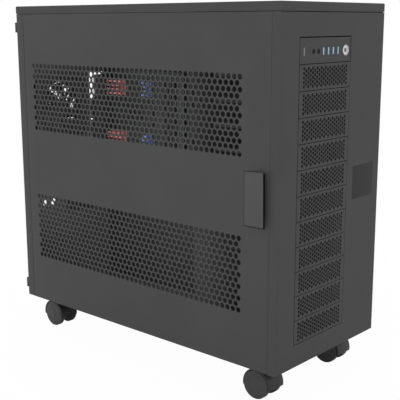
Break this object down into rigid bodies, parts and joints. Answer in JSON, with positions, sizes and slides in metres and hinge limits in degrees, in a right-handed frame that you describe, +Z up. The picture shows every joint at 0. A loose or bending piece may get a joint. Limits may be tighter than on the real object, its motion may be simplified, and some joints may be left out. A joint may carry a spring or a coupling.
{
  "type": "pc case",
  "caption": "Tall tower computer case on swivel casters, with a hinged vented side door, a column of mesh drive bay covers and front ports.",
  "frame": {"origin": "middle of the bounding box, on the floor under the wheels", "axes": "+Z up, front face towards -Y, hinged door on the -X side"},
  "size_m": [0.325, 0.676, 0.678],
  "materials": {
    "panel_grey": "satin dark grey powder coat",
    "handle_grey": "satin dark grey powder coat",
    "black_metal": "black powder coat",
    "badge_grey": "matt",
    "bright_steel": "plated",
    "silver_ring": "turned",
    "black_plastic": "fine texture",
    "board_black": "solder resist",
    "red_metal": "red anodised",
    "blue_metal": "blue anodised",
    "port_blue": "moulded",
    "light_pipe": "frosted",
    "button_grey": "satin",
    "wheel_black": "moulded nylon"
  },
  "bodies": {
    "chassis": {"top_cover": "panel_grey", "base_pan": "panel_grey", "front_bezel": "panel_grey", "badge_plate": "badge_grey", "front_frame": "panel_grey", "bay_rails": "panel_grey", "rear_panel": "panel_grey", "slot_covers": "black_metal", "rear_fan_frame": "black_plastic", "motherboard_tray": "panel_grey", "board_standoffs": "bright_steel", "motherboard": "board_black", "red_heatsinks": "red_metal", "blue_heatsinks": "blue_metal", "rear_port_stack": "bright_steel", "expansion_slots": "black_plastic", "hinge_leaves": "bright_steel", "door_catches": "black_plastic", "bay_cover_01": "panel_grey", "bay_cover_02": "panel_grey", "bay_cover_03": "panel_grey", "bay_cover_04": "panel_grey", "bay_cover_05": "panel_grey", "bay_cover_06": "panel_grey", "bay_cover_07": "panel_grey", "bay_cover_08": "panel_grey", "bay_cover_09": "panel_grey", "bay_cover_10": "panel_grey", "bay_cover_11": "panel_grey", "io_faceplate": "panel_grey", "io_circuit_board": "board_black", "led_light_pipe": "light_pipe", "usb_ports": "port_blue", "audio_jacks": "black_plastic", "button_ring": "silver_ring", "caster_sockets": "black_plastic"},
    "door": {"left_door": "panel_grey", "hinge_strip": "panel_grey", "door_handle": "handle_grey", "handle_cup": "black_metal", "door_strikes": "bright_steel"},
    "side_panel": {"right_panel": "panel_grey", "panel_thumbscrews": "black_metal"},
    "power_button": {"power_button": "button_grey"},
    "reset_button": {"reset_button": "black_plastic"},
    "fan_rotor": {"rear_fan_rotor": "black_plastic"},
    "caster_front_left": {"caster_fork_front_left": "black_plastic"},
    "wheel_front_left_outer": {"wheel_front_left_outer": "wheel_black"},
    "wheel_front_left_inner": {"wheel_front_left_inner": "wheel_black"},
    "caster_front_right": {"caster_fork_front_right": "black_plastic"},
    "wheel_front_right_outer": {"wheel_front_right_outer": "wheel_black"},
    "wheel_front_right_inner": {"wheel_front_right_inner": "wheel_black"},
    "caster_rear_left": {"caster_fork_rear_left": "black_plastic"},
    "wheel_rear_left_outer": {"wheel_rear_left_outer": "wheel_black"},
    "wheel_rear_left_inner": {"wheel_rear_left_inner": "wheel_black"},
    "caster_rear_right": {"caster_fork_rear_right": "black_plastic"},
    "wheel_rear_right_outer": {"wheel_rear_right_outer": "wheel_black"},
    "wheel_rear_right_inner": {"wheel_rear_right_inner": "wheel_black"}
  },
  "joints": [
    {"name": "door_hinge", "type": "hinge", "parent": "chassis", "child": "door", "pos_m": [-0.147, 0.334, 0.366], "axis": [0, 0, -1], "range_deg": [0, 105]},
    {"name": "side_panel_slide", "type": "slide", "parent": "chassis", "child": "side_panel", "axis": [0, 1, 0], "range_m": [0, 0.018]},
    {"name": "power_press", "type": "slide", "parent": "chassis", "child": "power_button", "axis": [0, 1, 0], "range_m": [0, 0.0018], "stiffness_N_per_m": 600},
    {"name": "reset_press", "type": "slide", "parent": "chassis", "child": "reset_button", "axis": [0, 1, 0], "range_m": [0, 0.0015], "stiffness_N_per_m": 500},
    {"name": "fan_spin", "type": "hinge", "parent": "chassis", "child": "fan_rotor", "pos_m": [-0.0585, 0.312, 0.46597], "axis": [0, 1, 0], "continuous": true},
    {"name": "swivel_front_left", "type": "hinge", "parent": "chassis", "child": "caster_front_left", "pos_m": [-0.1025, -0.2935, 0.058], "axis": [0, 0, 1], "continuous": true},
    {"name": "roll_front_left_outer", "type": "hinge", "parent": "caster_front_left", "child": "wheel_front_left_outer", "pos_m": [-0.1025, -0.2755, 0.026], "axis": [1, 0, 0], "continuous": true},
    {"name": "roll_front_left_inner", "type": "hinge", "parent": "caster_front_left", "child": "wheel_front_left_inner", "pos_m": [-0.1025, -0.2755, 0.026], "axis": [1, 0, 0], "continuous": true},
    {"name": "swivel_front_right", "type": "hinge", "parent": "chassis", "child": "caster_front_right", "pos_m": [0.1145, -0.2935, 0.058], "axis": [0, 0, 1], "continuous": true},
    {"name": "roll_front_right_outer", "type": "hinge", "parent": "caster_front_right", "child": "wheel_front_right_outer", "pos_m": [0.1145, -0.2755, 0.026], "axis": [1, 0, 0], "continuous": true},
    {"name": "roll_front_right_inner", "type": "hinge", "parent": "caster_front_right", "child": "wheel_front_right_inner", "pos_m": [0.1145, -0.2755, 0.026], "axis": [1, 0, 0], "continuous": true},
    {"name": "swivel_rear_left", "type": "hinge", "parent": "chassis", "child": "caster_rear_left", "pos_m": [-0.1025, 0.2983, 0.058], "axis": [0, 0, 1], "continuous": true},
    {"name": "roll_rear_left_outer", "type": "hinge", "parent": "caster_rear_left", "child": "wheel_rear_left_outer", "pos_m": [-0.1025, 0.2803, 0.026], "axis": [1, 0, 0], "continuous": true},
    {"name": "roll_rear_left_inner", "type": "hinge", "parent": "caster_rear_left", "child": "wheel_rear_left_inner", "pos_m": [-0.1025, 0.2803, 0.026], "axis": [1, 0, 0], "continuous": true},
    {"name": "swivel_rear_right", "type": "hinge", "parent": "chassis", "child": "caster_rear_right", "pos_m": [0.1145, 0.2983, 0.058], "axis": [0, 0, 1], "continuous": true},
    {"name": "roll_rear_right_outer", "type": "hinge", "parent": "caster_rear_right", "child": "wheel_rear_right_outer", "pos_m": [0.1145, 0.2803, 0.026], "axis": [1, 0, 0], "continuous": true},
    {"name": "roll_rear_right_inner", "type": "hinge", "parent": "caster_rear_right", "child": "wheel_rear_right_inner", "pos_m": [0.1145, 0.2803, 0.026], "axis": [1, 0, 0], "continuous": true}
  ]
}
